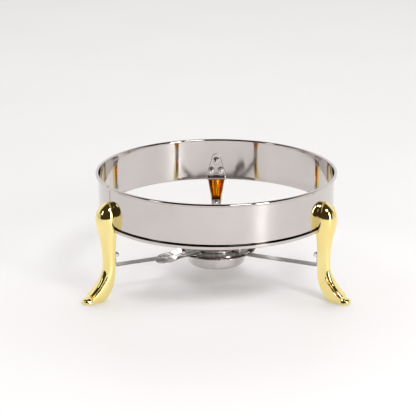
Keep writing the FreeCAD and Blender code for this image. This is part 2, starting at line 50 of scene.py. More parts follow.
# Pieces are worked out in millimetres round the ring's upright axis, with the table at zero height.
ringLow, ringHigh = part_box("ring_band")
axisX = (ringLow[0] + ringHigh[0]) / 2
axisY = (ringLow[1] + ringHigh[1]) / 2
sides = {"left": 210.0, "right": 330.0, "rear": 90.0}


def levels(node):
    # lowest and highest level of a node, in millimetres
    low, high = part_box(node)
    return low[2] / mm, high[2] / mm


ring = {
    "bead": 2.5, "sheet": 0.8, "hemDepth": 3.0, "hemHeight": 7.5,
    "beadEnd": -120.0, "shoulder": 3.8, "columns": 288,
}
ring["inner"] = (ringHigh[0] - ringLow[0]) / 2 / mm - 2 * ring["bead"]
ring["outer"] = ring["inner"] + ring["sheet"]
ring["foot"], ring["top"] = levels("ring_band")


def gridFaces(rows, columns, roundRows=False, roundColumns=True):
    # four corners for each cell between neighbouring rows and columns
    r, c = np.meshgrid(
        np.arange(rows if roundRows else rows - 1),
        np.arange(columns if roundColumns else columns - 1), indexing="ij")
    nextR, nextC = (r + 1) % rows, (c + 1) % columns
    corners = [r * columns + c, r * columns + nextC, nextR * columns + nextC, nextR * columns + c]
    return np.stack(corners, -1).reshape(-1, 4)


def arc(x, z, radius, start, end, count=12):
    # centre plus the radius times the cosine and sine of the angle
    turn = np.radians(np.linspace(start, end, count))
    return np.stack([x + radius * np.cos(turn), z + radius * np.sin(turn)], 1)


def revolve(profile, columns=160, closed=False):
    # radius r and height z of the profile, at angle a, go to (r cos a, r sin a, z)
    profile = np.asarray(profile, float)
    turn = np.arange(columns) * 2 * math.pi / columns
    r, z = profile[:, :1], profile[:, 1:]
    points = np.stack([r * np.cos(turn), r * np.sin(turn), z + 0 * turn], -1)
    local = np.stack([r + 0 * turn, 0 * r * turn, z + 0 * turn], -1)
    return points.reshape(-1, 3), gridFaces(len(profile), columns, closed), local.reshape(-1, 3)


def capped(rows):
    # a closed tube of sections, each end drawn in to its middle point
    first = np.repeat(rows[:1].mean(1, keepdims=True), rows.shape[1], 1)
    last = np.repeat(rows[-1:].mean(1, keepdims=True), rows.shape[1], 1)
    return np.concatenate([first, rows, last])


def joined(shapes):
    points, faces, local, count = [], [], [], 0
    for p, f, l in shapes:
        points.append(p)
        faces.append(f + count)
        local.append(l)
        count += len(p)
    return np.concatenate(points), np.concatenate(faces), np.concatenate(local)


def turned(shape, degrees, shift=(0, 0, 0)):
    # a turn about the upright axis, then a shift
    a = math.radians(degrees)
    p, f, l = shape
    x = p[:, 0] * math.cos(a) - p[:, 1] * math.sin(a)
    y = p[:, 0] * math.sin(a) + p[:, 1] * math.cos(a)
    return np.stack([x, y, p[:, 2]], 1) + np.array(shift, float), f, l


def route(corners, spacing=2.0):
    # straight runs joined by arcs: each corner is (x, z, radius)
    found = [np.array(corners[0][:2], float)]
    for before, here, after in zip(corners, corners[1:], corners[2:]):
        b, h, a = (np.array(p[:2], float) for p in (before, here, after))
        inward, outward = (h - b) / np.linalg.norm(h - b), (a - h) / np.linalg.norm(a - h)
        turn = math.atan2(inward[0] * outward[1] - inward[1] * outward[0], inward @ outward)
        reach = here[2] * abs(math.tan(turn / 2))
        side = math.copysign(1.0, turn)
        centre = h - inward * reach + side * here[2] * np.array([-inward[1], inward[0]])
        start = math.degrees(math.atan2(-side * inward[0], side * inward[1]))
        count = max(3, int(abs(math.degrees(turn)) / 8) + 2)
        found.extend(arc(centre[0], centre[1], here[2], start, start + math.degrees(turn), count))
    found.append(np.array(corners[-1][:2], float))
    path = [found[0]]
    for a, b in zip(found, found[1:]):
        steps = max(1, int(np.linalg.norm(b - a) / spacing))
        path.extend(a + (b - a) * np.arange(1, steps + 1)[:, None] / steps)
    return np.array(path)


def roundEnd(beyond, length):
    # share of the width left at a distance along a rounded end: a quarter of a circle or an ellipse
    return np.sqrt(np.maximum(1 - (beyond / length)**2, 0))


def lengthAlong(path):
    return np.concatenate([[0], np.cumsum(np.linalg.norm(np.diff(path, axis=0), axis=1))])


def smoothRows(rows, t, wanted):
    # cubic between stations, with slopes from the stations on each side
    slopes = np.gradient(rows, t, axis=0)
    k = np.clip(np.searchsorted(t, wanted, side="right") - 1, 0, len(t) - 2)
    span = (t[k + 1] - t[k])[:, None]
    u = ((wanted - t[k])[:, None]) / span
    return ((2 * u**3 - 3 * u**2 + 1) * rows[k] + (u**3 - 2 * u**2 + u) * span * slopes[k]
            + (3 * u**2 - 2 * u**3) * rows[k + 1] + (u**3 - u**2) * span * slopes[k + 1])


def strip(path, halfWidth, thickness, columns=14, bow=8, dish=None):
    # flat sheet along a path in x and z: width across y, both long edges rounded by half circles
    tangent = np.gradient(path, axis=0)
    tangent /= np.linalg.norm(tangent, axis=1, keepdims=True)
    half = np.broadcast_to(np.asarray(thickness, float) / 2, (len(path),))[:, None]
    turn = np.radians(np.concatenate([
        np.full(columns, 90.0), np.linspace(90, 270, bow)[1:-1],
        np.full(columns, 270.0), np.linspace(270, 450, bow)[1:-1]]))
    flat = np.concatenate([
        np.linspace(1, -1, columns), np.full(bow - 2, -1.0),
        np.linspace(-1, 1, columns), np.full(bow - 2, 1.0)])
    width = np.maximum(np.asarray(halfWidth, float)[:, None] - half, 0.02)
    y = flat * width + half * np.cos(turn)
    off = half * np.sin(turn)
    x = path[:, :1] - tangent[:, 1:] * off
    z = path[:, 1:] + tangent[:, :1] * off
    if dish is not None:
        z = z - dish[:, None] * (1 - (y / (width + half))**2)
    along = lengthAlong(path)[:, None] + 0 * y
    rows, local = capped(np.stack([x, y, z], -1)), capped(np.stack([along, y, off], -1))
    return rows.reshape(-1, 3), gridFaces(len(rows), rows.shape[1]), local.reshape(-1, 3)


def addPiece(name, shape, body, nodes, finish, sharpAngle=38, paintedShade=None):
    # puts a surface in the scene, in metres, joined up and facing outward
    points, faces, local = shape
    mesh = bpy.data.meshes.new(name)
    placed = points * mm + np.array([axisX, axisY, 0])
    mesh.from_pydata(placed.tolist(), [], faces.tolist())
    grain = mesh.attributes.new("grain", "FLOAT_VECTOR", "POINT")
    grain.data.foreach_set("vector", (local * mm).ravel().astype(np.float32))
    # the groove attribute carries painted shade for the legs' flutes and channel
    if paintedShade is not None:
        depth = mesh.attributes.new("groove", "FLOAT", "POINT")
        depth.data.foreach_set("value", paintedShade.astype(np.float32))
    work = bmesh.new()
    work.from_mesh(mesh)
    bmesh.ops.remove_doubles(work, verts=work.verts, dist=2e-6)
    bmesh.ops.dissolve_degenerate(work, edges=work.edges, dist=1e-6)
    bmesh.ops.recalc_face_normals(work, faces=work.faces)
    work.to_mesh(mesh)
    work.free()
    mesh.polygons.foreach_set("use_smooth", np.ones(len(mesh.polygons), bool))
    mesh.set_sharp_from_angle(angle=math.radians(sharpAngle))
    mesh.materials.append(finish)
    piece = bpy.data.objects.new(name, mesh)
    scene.collection.objects.link(piece)
    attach(piece, body)
    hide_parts(*nodes)
    return piece


class Shade:
    # a socket's value, with the operators that maths on it needs
    def __init__(self, finish, socket):
        self.finish, self.socket = finish, socket

    def maths(self, operation, *values):
        return self.finish.add("ShaderNodeMath", {"operation": operation}, dict(enumerate(values)))

    def __add__(self, other):
        return self.maths("ADD", self, other)

    def __sub__(self, other):
        return self.maths("SUBTRACT", self, other)

    def __rsub__(self, other):
        return self.maths("SUBTRACT", other, self)

    def __mul__(self, other):
        return self.maths("MULTIPLY", self, other)

    def __truediv__(self, other):
        return self.maths("DIVIDE", self, other)

    def __pow__(self, other):
        return self.maths("POWER", self, other)

    __radd__ = __add__
    __rmul__ = __mul__

    def sine(self):
        return self.maths("SINE", self)

    def between(self, low, high):
        # nought below the first value, one above the second, eased in the middle
        return self.finish.add(
            "ShaderNodeMapRange", {"interpolation_type": "SMOOTHSTEP"},
            {"Value": self, "From Min": low, "From Max": high})


class Finish:
    # a material whose nodes are added one at a time
    def __init__(self, name):
        self.material = bpy.data.materials.new(name)
        self.material.use_nodes = True
        self.tree = self.material.node_tree
        self.tree.nodes.clear()

    def add(self, kind, settings=None, values=None, output=0):
        node = self.tree.nodes.new(kind)
        for key, value in (settings or {}).items():
            setattr(node, key, value)
        for key, value in (values or {}).items():
            if isinstance(value, Shade):
                self.tree.links.new(value.socket, node.inputs[key])
            else:
                node.inputs[key].default_value = value
        return Shade(self, node.outputs[output])

    def place(self):
        return self.add("ShaderNodeTexCoord", output="Object")

    def grain(self):
        return self.add("ShaderNodeAttribute", {"attribute_name": "grain"}, output="Vector")

    def stretched(self, vector, scale):
        return self.add("ShaderNodeMapping", None, {"Vector": vector, "Scale": scale})

    def noise(self, vector, scale, detail=2.0, roughness=0.5):
        return self.add("ShaderNodeTexNoise", None, {
            "Vector": vector, "Scale": scale, "Detail": detail, "Roughness": roughness})

    def parts(self, vector):
        return [self.add("ShaderNodeSeparateXYZ", None, {0: vector}, i) for i in range(3)]

    def fromAxis(self):
        # distance from the ring's axis, and height
        moved = self.add("ShaderNodeVectorMath", {"operation": "SUBTRACT"}, {
            0: self.place(), 1: (axisX, axisY, 0)})
        x, y, z = self.parts(moved)
        return (x * x + y * y)**0.5, z

    def vector(self, x, y, z):
        return self.add("ShaderNodeCombineXYZ", None, {0: x, 1: y, 2: z})

    def mixed(self, factor, first, second):
        return self.add("ShaderNodeMix", {"data_type": "RGBA"}, {0: factor, 6: first, 7: second}, 2)

    def bump(self, height, strength, distance, normal=None):
        values = {"Height": height, "Strength": strength, "Distance": distance}
        if normal is not None:
            values["Normal"] = normal
        return self.add("ShaderNodeBump", None, values)

    def finished(self, **values):
        named = {key.replace("_", " "): value for key, value in values.items()}
        shader = self.add("ShaderNodeBsdfPrincipled", None, named)
        last = self.tree.nodes.new("ShaderNodeOutputMaterial")
        self.tree.links.new(shader.socket, last.inputs["Surface"])
        return self.material


def colour(red, green, blue):
    return (red, green, blue, 1.0)


def makePolishedSteel():
    # the black tone is painted shade in the hem's crease and under its edge, and also the dark line of the
    # welded joint
    look = {"clean": colour(0.66, 0.625, 0.605), "warm": colour(0.62, 0.58, 0.56),
            "paintedShadeAndJoint": colour(0.035, 0.028, 0.024), "roughness": 0.068, "wear": 0.016, "wave": 0.00025,
            "creaseDeep": 0.0032, "creaseFaint": 0.0025, "edgeFaint": 0.0006,
            "jointAt": 209.6, "jointHalf": 0.0005, "jointFaint": 0.0011}
    f = Finish("polishedSteel")
    place = f.place()
    lines = f.noise(f.stretched(place, (5, 5, 340)), 4.0, 3.0)
    smears = f.noise(place, 14.0, 3.0, 0.6)
    sway = f.noise(place, 7.0, 1.0)
    tone = f.mixed(smears.between(0.35, 0.75), look["clean"], look["warm"])
    # painted shade: black where the folded hem meets the wall, and under its lower edge
    reach, height = f.fromAxis()
    foot, fold = ring["foot"] * mm, (ring["foot"] + ring["hemHeight"]) * mm
    onHem = reach.between((ring["outer"] + 0.05) * mm, (ring["outer"] + 0.2) * mm)
    paintedCreaseShade = (height.between(fold - look["creaseDeep"], fold - look["creaseFaint"])
              * (1.0 - height.between(fold, fold + look["edgeFaint"])))
    paintedUnderShade = ((1.0 - height.between(foot + 0.0003, foot + 0.0007))
             * height.between(foot - look["edgeFaint"], foot - 0.0003))
    # painted shade mixed in: black in the crease and under the hem's lower edge
    tone = f.mixed(onHem * (paintedCreaseShade + paintedUnderShade * 0.8), tone, look["paintedShadeAndJoint"])
    # the band's welded joint, a thin upright line on its outside
    x, y, _ = f.parts(place)
    joint = math.radians(look["jointAt"])
    aside = (x - axisX) * math.sin(joint) - (y - axisY) * math.cos(joint)
    outward = (x - axisX) * math.cos(joint) + (y - axisY) * math.sin(joint)
    onBand = (outward.between(0.10, 0.12)
              * reach.between((ring["inner"] + 0.3) * mm, (ring["inner"] + 0.6) * mm))
    line = (1.0 - (aside * aside).between(look["jointHalf"]**2, look["jointFaint"]**2)) * onBand
    tone = f.mixed(line, tone, look["paintedShadeAndJoint"])
    polish = (look["roughness"] + lines.between(0.3, 0.8) * 0.01
              + smears.between(0.5, 0.75) * look["wear"])
    normal = f.bump(lines, 0.05, 0.00003, f.bump(sway, 0.5, look["wave"]))
    return f.finished(Base_Color=tone, Metallic=1.0, Roughness=polish, Normal=normal,
                      Anisotropic=0.8, Anisotropic_Rotation=0.25)


def makeGoldPlate():
    # the hollow colour is painted shade in the flutes, and in the channel partly the rougher inside finish
    # and partly painted shade
    look = {"crown": colour(1.0, 0.86, 0.38), "hollow": colour(0.88, 0.38, 0.012),
            "tint": colour(0.97, 0.77, 0.28), "roughness": 0.06}
    f = Finish("goldPlate")
    place = f.place()
    depth = f.add("ShaderNodeAttribute", {"attribute_name": "groove"}, output="Fac")
    cloud = f.noise(place, 22.0, 3.0)
    peel = f.noise(place, 420.0, 2.0)
    sway = f.noise(place, 36.0, 1.0)
    tone = f.mixed(cloud.between(0.35, 0.75) * 0.6, look["crown"], look["tint"])
    tone = f.mixed(depth, tone, look["hollow"])
    polish = look["roughness"] + cloud.between(0.45, 0.75) * 0.03 + depth * 0.16
    normal = f.bump(peel, 0.12, 0.00005, f.bump(sway, 0.35, 0.00025))
    return f.finished(Base_Color=tone, Metallic=1.0, Roughness=polish, Normal=normal)


def makePlatedFastener():
    look = {"bright": colour(0.88, 0.86, 0.84), "dull": colour(0.72, 0.69, 0.67), "roughness": 0.10}
    f = Finish("platedFastener")
    place = f.place()
    cloud = f.noise(place, 160.0, 3.0)
    marks = f.noise(f.stretched(place, (300, 300, 1500)), 1.0, 2.0)
    tone = f.mixed(cloud.between(0.4, 0.8), look["bright"], look["dull"])
    polish = look["roughness"] + cloud.between(0.4, 0.7) * 0.08
    return f.finished(
        Base_Color=tone, Metallic=1.0, Roughness=polish, Normal=f.bump(marks, 0.1, 0.00004))


def makeRolledStrap():
    look = {"bright": colour(0.55, 0.535, 0.525), "dull": colour(0.40, 0.385, 0.375), "roughness": 0.22}
    f = Finish("rolledStrap")
    grain = f.grain()
    lines = f.noise(f.stretched(grain, (9, 900, 900)), 1.0, 3.0)
    blotch = f.noise(grain, 90.0, 3.0)
    tone = f.mixed(blotch.between(0.35, 0.75), look["bright"], look["dull"])
    polish = look["roughness"] + lines.between(0.3, 0.8) * 0.14 + blotch.between(0.5, 0.8) * 0.08
    return f.finished(
        Base_Color=tone, Metallic=1.0, Roughness=polish, Normal=f.bump(lines, 0.2, 0.00006))


def makePressedSteel():
    look = {"bright": colour(0.68, 0.66, 0.65), "dull": colour(0.54, 0.52, 0.51),
            "heat": colour(0.62, 0.50, 0.34), "roughness": 0.19}
    f = Finish("pressedSteel")
    reach, height = f.fromAxis()
    turned = f.noise(f.vector(reach, height, 0.0), 1300.0, 2.0)
    cloud = f.noise(f.place(), 60.0, 3.0)
    tone = f.mixed(cloud.between(0.35, 0.8), look["bright"], look["dull"])
    warmth = (1.0 - reach.between(0.024, 0.036)) * (0.15 + cloud.between(0.3, 0.8) * 0.25)
    tone = f.mixed(warmth, tone, look["heat"])
    polish = look["roughness"] + turned.between(0.3, 0.8) * 0.08 + cloud.between(0.5, 0.8) * 0.06
    return f.finished(
        Base_Color=tone, Metallic=1.0, Roughness=polish, Normal=f.bump(turned, 0.12, 0.00005))


def makeGauzeSteel():
    look = {"wire": colour(0.50, 0.48, 0.46), "gap": colour(0.16, 0.15, 0.14), "pitch": 0.0009}
    f = Finish("gauzeSteel")
    x, y, z = f.parts(f.place())
    turn = 2 * math.pi / look["pitch"]
    weave = ((x * turn).sine() * (y * turn).sine()).between(-0.8, 0.6)
    soot = f.noise(f.place(), 120.0, 3.0).between(0.4, 0.8)
    tone = f.mixed(weave, look["gap"], look["wire"])
    return f.finished(
        Base_Color=tone, Metallic=1.0, Roughness=0.30 + soot * 0.25, Normal=f.bump(weave, 0.6, 0.0002))


def makeWickFibre():
    look = {"clean": colour(0.80, 0.77, 0.70), "used": colour(0.55, 0.47, 0.37)}
    f = Finish("wickFibre")
    place = f.place()
    fibres = f.noise(f.stretched(place, (900, 900, 2400)), 1.0, 5.0, 0.7)
    stain = f.noise(place, 55.0, 3.0).between(0.45, 0.8)
    return f.finished(
        Base_Color=f.mixed(stain, look["clean"], look["used"]), Roughness=0.85 + fibres * 0.1,
        Normal=f.bump(fibres, 0.7, 0.0006))


def makeTableTop():
    f = Finish("tableTop")
    cloud = f.noise(f.place(), 3.0, 3.0).between(0.3, 0.8)
    tone = f.mixed(cloud, colour(0.905, 0.90, 0.905), colour(0.895, 0.89, 0.895))
    fine = f.noise(f.place(), 500.0, 2.0)
    return f.finished(Base_Color=tone, Roughness=0.45 + cloud * 0.1, Normal=f.bump(fine, 0.05, 0.0001))


polishedSteel = makePolishedSteel()
goldPlate = makeGoldPlate()
platedFastener = makePlatedFastener()
rolledStrap = makeRolledStrap()
pressedSteel = makePressedSteel()
gauzeSteel = makeGauzeSteel()
wickFibre = makeWickFibre()
print("materials made")


def ringShape():
    # the sheet's section, run round the axis: wall, bead rolled outward, hem folded out and up
    r = ring
    beadX, beadZ = r["inner"] + r["bead"], r["top"] - r["bead"]
    hem = r["hemDepth"] / 2
    hemIn = hem - r["sheet"]
    hemX, hemLow = r["inner"] + hem, r["foot"] + hem
    # the folded edge rises straight, then eases back to the wall over a quarter of an ellipse
    lean = np.radians(np.linspace(0, 86, 14))
    shoulder = np.stack([
        r["outer"] + 0.12 + (2 * hem - r["sheet"] - 0.12) * np.cos(lean),
        r["foot"] + r["hemHeight"] - r["shoulder"] * (1 - np.sin(lean))], 1)
    wall = np.linspace(hemLow, beadZ, 14)[1:-1]
    profile = np.concatenate([
        np.stack([np.full(12, r["inner"]), wall], 1),
        arc(beadX, beadZ, r["bead"], 180, r["beadEnd"], 40),
        arc(beadX, beadZ, r["bead"] - r["sheet"], r["beadEnd"], 180, 24),
        np.stack([np.full(12, r["outer"]), wall[::-1]], 1),
        arc(hemX, hemLow, hemIn, 180, 360, 10),
        shoulder - [r["sheet"], 0.2], shoulder[::-1],
        arc(hemX, hemLow, hem, 360, 180, 18),
    ])
    return revolve(profile, r["columns"], True)


addPiece("ringBand", ringShape(), "stand", ["ring_band"], polishedSteel)
print("ring made")


leg = {
    "inset": 1.7, "wall": 2.4, "fullness": 2.4, "draft": 0.14, "ribs": 5, "ribDepth": 0.9,
    "footFullness": 2.4, "footSquare": 8, "toeRound": 38, "toeEase": 5,
    "fluteTurn": 38.0, "fluteSpread": 8.0, "fluteMiddle": 0.45, "fluteEase": 1.4,
    "fullFlute": 2.2, "fluteShade": 0.7, "rowSpacing": 1.15, "stepHalf": 0.02,
    "headTop": 44.9, "headMiddle": 17.5, "headHalfWidth": 18.9, "headStandOff": 23.2,
    "channelTop": 38.7, "channelFoot": 22.0, "channelFade": 3, "hemGap": 0.35, "seam": 0.03,
}
# down the shaft: back out and level, front out and level, half width, depth of the two flutes
shaft = [
    (0, 117.8, 25.0, 117.8, 18.0, 0), (0, 110.4, 23.5, 110.4, 16.3, 0), (0, 102.8, 21.6, 103.0, 14.6, 0),
    (0, 94.8, 20.0, 95.2, 13.2, 0), (0, 79.4, 18.1, 80.3, 10.3, 0), (0, 63.8, 17.2, 66.3, 9.1, 0),
    (0, 49.8, 17.4, 54.3, 8.9, 0), (1.4, 35.8, 19.6, 43.3, 9.1, 0.2), (5.2, 22.3, 23.6, 33.8, 9.3, 1.3),
    (11.8, 10.3, 29.4, 25.4, 9.6, 2.2), (21.0, 1.8, 35.6, 18.8, 9.9, 2.4),
    (29.6, -1.0, 40.2, 14.6, 10.2, 2.2), (34.6, -1.2, 42.6, 12.4, 10.3, 1.6),
    (37.6, -1.2, 43.8, 8.4, 10.4, 0.3), (42.6, -1.2, 45.4, 7.8, 10.3, 0), (47.0, -1.1, 48.4, 7.9, 9.5, 0),
    (50.0, -0.8, 50.6, 7.2, 7.6, 0), (51.9, 0.2, 52.0, 5.8, 5.0, 0), (52.4, 1.4, 52.4, 4.2, 1.8, 0),
]


def legShape():
    back = ring["inner"] - leg["inset"]
    top, middle = ring["foot"] + leg["headTop"], ring["foot"] + leg["headMiddle"]
    # the head is an ellipse in height: its width and stand-off are the cosine of an angle, its level the sine
    swellTurn = np.radians(np.linspace(88.5, 0, 34))
    swell, level = np.cos(swellTurn), middle + (top - middle) * np.sin(swellTurn)
    flat = np.zeros_like(swell)
    standOff = ring["outer"] - back + leg["headStandOff"] * swell
    head = np.stack([flat, level, standOff, level, leg["headHalfWidth"] * swell, flat], 1)
    stations = np.concatenate([head[-9:], np.array(shaft, float)])
    # the head's last rows give the shaft its first slope, and length is counted from the last of them
    t = lengthAlong(stations[:, 2:4])
    t = t - t[8]
    wanted = np.concatenate([np.arange(1.0, t[-1], leg["rowSpacing"]), [t[-1]]])
    fine = np.linspace(0, t[-1], 1200)
    fineBack = smoothRows(stations, t, fine)[:, 1]
    # two close rows where the back steps round the hem, and where it passes the ring's foot
    steps = [ring["foot"] + ring["hemHeight"] + leg["hemGap"], ring["foot"]]
    for step in steps:
        at = float(np.interp(-step, -fineBack, fine))
        wanted = np.concatenate([wanted, [at - leg["stepHalf"], at + leg["stepHalf"]]])
    rows = np.concatenate([head, smoothRows(stations, t, np.sort(wanted))])
    rows[:, 5] = np.maximum(rows[:, 5], 0)

    cusp = math.radians(leg["fluteTurn"])
    shoulderTurn = np.linspace(0, 2 * cusp, 37)
    turn = np.concatenate([
        shoulderTurn, np.linspace(2 * cusp, math.pi - 2 * cusp, 31)[1:], math.pi - shoulderTurn[-2::-1]])
    # the section is squarer down the foot, with a flat top and flat flanks, and rounder at head and toe
    backOut = rows[:, :1]
    squarer = (np.clip(backOut / leg["footSquare"], 0, 1)
               * np.clip((leg["toeRound"] - backOut) / leg["toeEase"], 0, 1))
    power = 2 / (leg["fullness"] + leg["footFullness"] * squarer)
    across = np.sign(np.cos(turn)) * np.abs(np.cos(turn))**power
    along = np.abs(np.sin(turn))**power
    # a flute is deepest on its cusp, on the section's shoulder, and fades to nothing on both sides
    offCusp = np.minimum(np.abs(turn - cusp), np.abs(math.pi - cusp - turn))
    groove = np.maximum(0, 1 - offCusp / math.radians(leg["fluteSpread"]))**leg["fluteEase"]

    backX, backZ, frontX, frontZ, half, flute = (rows[:, i:i + 1] for i in range(6))
    depth = np.hypot(frontX - backX, frontZ - backZ)
    goX, goZ = (frontX - backX) / depth, (frontZ - backZ) / depth
    # a flute draws the section in towards its middle, and the section narrows a little towards its back
    shrink = 1 - flute * groove / half
    outFront = depth * (leg["fluteMiddle"] + (along - leg["fluteMiddle"]) * shrink)
    yFront = half * across * shrink * (1 - leg["draft"] * (1 - np.clip(along, 0, 1))**3)
    # the channel up the back is the same outline drawn in by the wall, and it fades out at both ends
    channelTop, channelFoot = ring["foot"] + leg["channelTop"], leg["channelFoot"]
    fade = (np.clip((channelTop - backZ) / leg["channelFade"], 0, 1)
            * np.clip((backZ - channelFoot) / leg["channelFade"], 0, 1))
    inner = np.linspace(math.pi, 0, 61)
    acrossIn = np.sign(np.cos(inner)) * np.abs(np.cos(inner))**(2 / leg["fullness"])
    alongIn = np.abs(np.sin(inner))**(2 / leg["fullness"])
    yIn = np.maximum(half - leg["wall"], 0.3 * half) * acrossIn * (1 - leg["draft"] * 0.5 * (1 - alongIn)**3)
    ribs = leg["ribDepth"] * (0.5 + 0.5 * np.cos(leg["ribs"] * inner * 2)) * alongIn
    outIn = (np.maximum(depth - leg["wall"], 0) * alongIn - ribs) * fade
    out = np.concatenate([outFront, outIn], 1)
    y = np.concatenate([yFront, yIn], 1)
    x = back + backX + goX * out
    z = backZ + goZ * out
    # the back stands on the ring's wall, clear of its hem, and the sole on the table
    wallRadius = np.where(z > ring["foot"] + ring["hemHeight"] + leg["hemGap"], ring["outer"] + leg["seam"],
                          ring["inner"] + ring["hemDepth"] + leg["hemGap"])
    onWall = np.sqrt(np.maximum(wallRadius**2 - y**2, 0))
    x = np.where(z > ring["foot"], np.maximum(x, onWall), np.maximum(x, back))
    z = np.maximum(z, 0.0)
    points = capped(np.stack([x, y, z], -1))
    local = capped(np.stack([np.cumsum(0 * backZ + 1, 0) + 0 * y, y, out], -1))
    # painted shade: the gold is coloured deeper in the flutes, and in the channel, where it is also the
    # rougher inside finish
    inFlute = leg["fluteShade"] * groove * np.clip(flute / leg["fullFlute"], 0, 1)
    inChannel = np.repeat(fade, len(inner), 1) * np.clip(alongIn * 3, 0, 1)
    shade = np.concatenate([inFlute, inChannel], 1)
    shade = np.concatenate([shade[:1] * 0, shade, shade[-1:] * 0])
    return (points.reshape(-1, 3), gridFaces(*points.shape[:2]), local.reshape(-1, 3)), shade.ravel()


oneLeg, legPaintedShade = legShape()
for side, angle in sides.items():
    addPiece(f"leg{side.title()}", turned(oneLeg, angle), "stand", [f"leg_{side}"],
             goldPlate, 32, legPaintedShade)
print("legs made")


plate = {
    "sheet": 1.5, "height": 44.5, "topHalf": 7.5, "footHalf": 15.5,
    "lipHeight": 7.5, "lipDepth": 2.2, "lipHalf": 16.7, "straight": 3, "gap": 0.02,
}
legNut = {"acrossFlats": 10.0, "hexHeight": 5.0, "height": 11.0}
armNut = {"acrossFlats": 8.0, "hexHeight": 4.0, "height": 8.5}
studPlaces = [(0.0, 32.5), (-7.5, 15.9), (7.5, 15.9)]


def plateShape():
    # rows go up the plate; its half width is straight, then tapers, then closes in a half circle
    topRound = plate["height"] - plate["topHalf"]
    z = np.concatenate([
        np.linspace(0, plate["lipHeight"], 12), np.linspace(plate["lipHeight"], topRound, 22)[1:],
        topRound + plate["topHalf"] * np.sin(np.radians(np.linspace(0, 89, 18)))[1:]])
    taper = np.interp(z, [0, plate["lipHeight"] + plate["straight"], topRound],
                      [plate["footHalf"], plate["footHalf"], plate["topHalf"]])
    half = np.where(z > topRound, plate["topHalf"] * roundEnd(z - topRound, plate["topHalf"]), taper)
    lip = np.clip(1 - z / plate["lipHeight"], 0, 1)
    half = half + (plate["lipHalf"] - plate["footHalf"]) * lip
    thick = plate["sheet"] + plate["lipDepth"] * np.clip((1 - z / plate["lipHeight"]) * 1.6, 0, 1)
    thick = np.where(z > plate["lipHeight"], plate["sheet"], thick)
    outside = ring["inner"] - plate["gap"]
    path = np.stack([outside - thick / 2, z + ring["foot"]], 1)
    points, faces, local = strip(path, half, thick, 24, 8)
    # bent to the ring: the distance across becomes an angle round the axis
    bend = points[:, 1] / ring["inner"]
    points = np.stack([points[:, 0] * np.cos(bend), points[:, 0] * np.sin(bend), points[:, 2]], 1)
    return points, faces, local


def nutShape(nut, columns=96):
    # the radius is the hexagon's or the turned corners', whichever is less, then a dome closes it
    flats = nut["acrossFlats"]
    corner, dome = flats / math.sqrt(3), 0.47 * flats
    turn = np.arange(columns) * 2 * math.pi / columns
    hexagon = flats / 2 / np.cos((turn + math.pi / 6) % (math.pi / 3) - math.pi / 6)
    low = np.linspace(0, nut["hexHeight"], 12)
    limit = np.sqrt((corner * 1.02)**2 - (low - nut["hexHeight"] * 0.35)**2)
    rows = [np.zeros(columns)] + [np.minimum(hexagon, r) for r in limit]
    heights = [0.0] + list(low)
    straight = nut["height"] - dome
    over = np.radians(np.linspace(0, 90, 14))
    rows += [np.full(columns, dome * math.cos(a)) for a in (0.0, 0.0, *over[1:])]
    heights += [nut["hexHeight"], straight] + [straight + dome * math.sin(a) for a in over[1:]]
    radius, height = np.array(rows), np.array(heights)[:, None]
    points = np.stack([-height + 0 * radius, radius * np.cos(turn), radius * np.sin(turn)], -1)
    return points.reshape(-1, 3), gridFaces(len(rows), columns), points.reshape(-1, 3)


def moved(shape, x, y, z):
    return shape[0] + np.array([x, y, z]), shape[1], shape[2]


plateFace = ring["inner"] - plate["sheet"]
onePlate = plateShape()
corner = legNut["acrossFlats"] / math.sqrt(3)
threeNuts = joined([
    moved(nutShape(legNut), math.sqrt(plateFace**2 - (abs(y) + corner)**2), y, ring["foot"] + z)
    for y, z in studPlaces])
for side, angle in sides.items():
    addPiece(f"backingPlate{side.title()}", turned(onePlate, angle), "stand",
             [f"leg_backing_plate_{side}"], polishedSteel)
    addPiece(f"legNuts{side.title()}", turned(threeNuts, angle), "stand",
             [f"leg_dome_nuts_{side}"], platedFastener, 30)
print("backing plates and nuts made")


trayLow = levels("burner_tray")[0]
tray = {"hole": 47.5, "radius": 62.0, "sheet": 0.8, "hem": 2.6, "edge": 0.3}
arm = {"thickness": 1.5, "width": 15.0, "innerEnd": 51.0, "bendStart": 63.0, "rise": 4.2, "gap": 0.02,
       "tabHeight": 20.9, "firstBend": 20, "bend": 2.75, "corner": 5.0, "studAbove": 15.5, "rivetSide": 4}


def trayShape():
    # flat ring whose outer edge is folded back over itself
    low, sheet = trayLow, tray["sheet"]
    top, fold = low + sheet, low + 2 * sheet
    edge, inner = tray["radius"] - sheet, tray["radius"] - tray["hem"]
    hole, ease = tray["hole"], tray["edge"]
    profile = np.concatenate([
        [(hole + ease, low), (edge, low)], arc(edge, low + sheet, sheet, -80, 80, 12),
        [(edge, fold), (inner + ease, fold), (inner, fold - ease), (inner, top),
         (hole + ease, top), (hole, top - ease), (hole, low + ease)]])
    return revolve(profile, 200, True)


def roundedEnds(s, length, half, corner):
    # half width along a strap whose end corners are quarter circles
    gap = np.clip(corner - np.minimum(s, length - s), 0, corner)
    return half - corner + np.sqrt(np.maximum(corner**2 - gap**2, 0))


def armShape():
    back = ring["inner"] - leg["inset"]
    middle = trayLow - arm["thickness"] / 2 - arm["gap"]
    rise = arm["rise"] * (back - arm["bendStart"]) / (back - arm["thickness"] - arm["bendStart"])
    tabX = back - arm["thickness"] / 2 - arm["gap"]
    path = route([
        (arm["innerEnd"], middle, 0), (arm["bendStart"], middle, arm["firstBend"]),
        (tabX, middle + rise, arm["bend"]),
        (tabX, trayLow + arm["rise"] + arm["tabHeight"], 0)], 1.6)
    s = lengthAlong(path)
    extra = np.concatenate([np.linspace(0, arm["corner"], 12), s[-1] - np.linspace(0, arm["corner"], 12)])
    stops = np.unique(np.concatenate([s, extra]))
    path = np.stack([np.interp(stops, s, path[:, 0]), np.interp(stops, s, path[:, 1])], 1)
    half = roundedEnds(stops, stops[-1], arm["width"] / 2, arm["corner"])
    return strip(path, half, arm["thickness"], 10, 6)


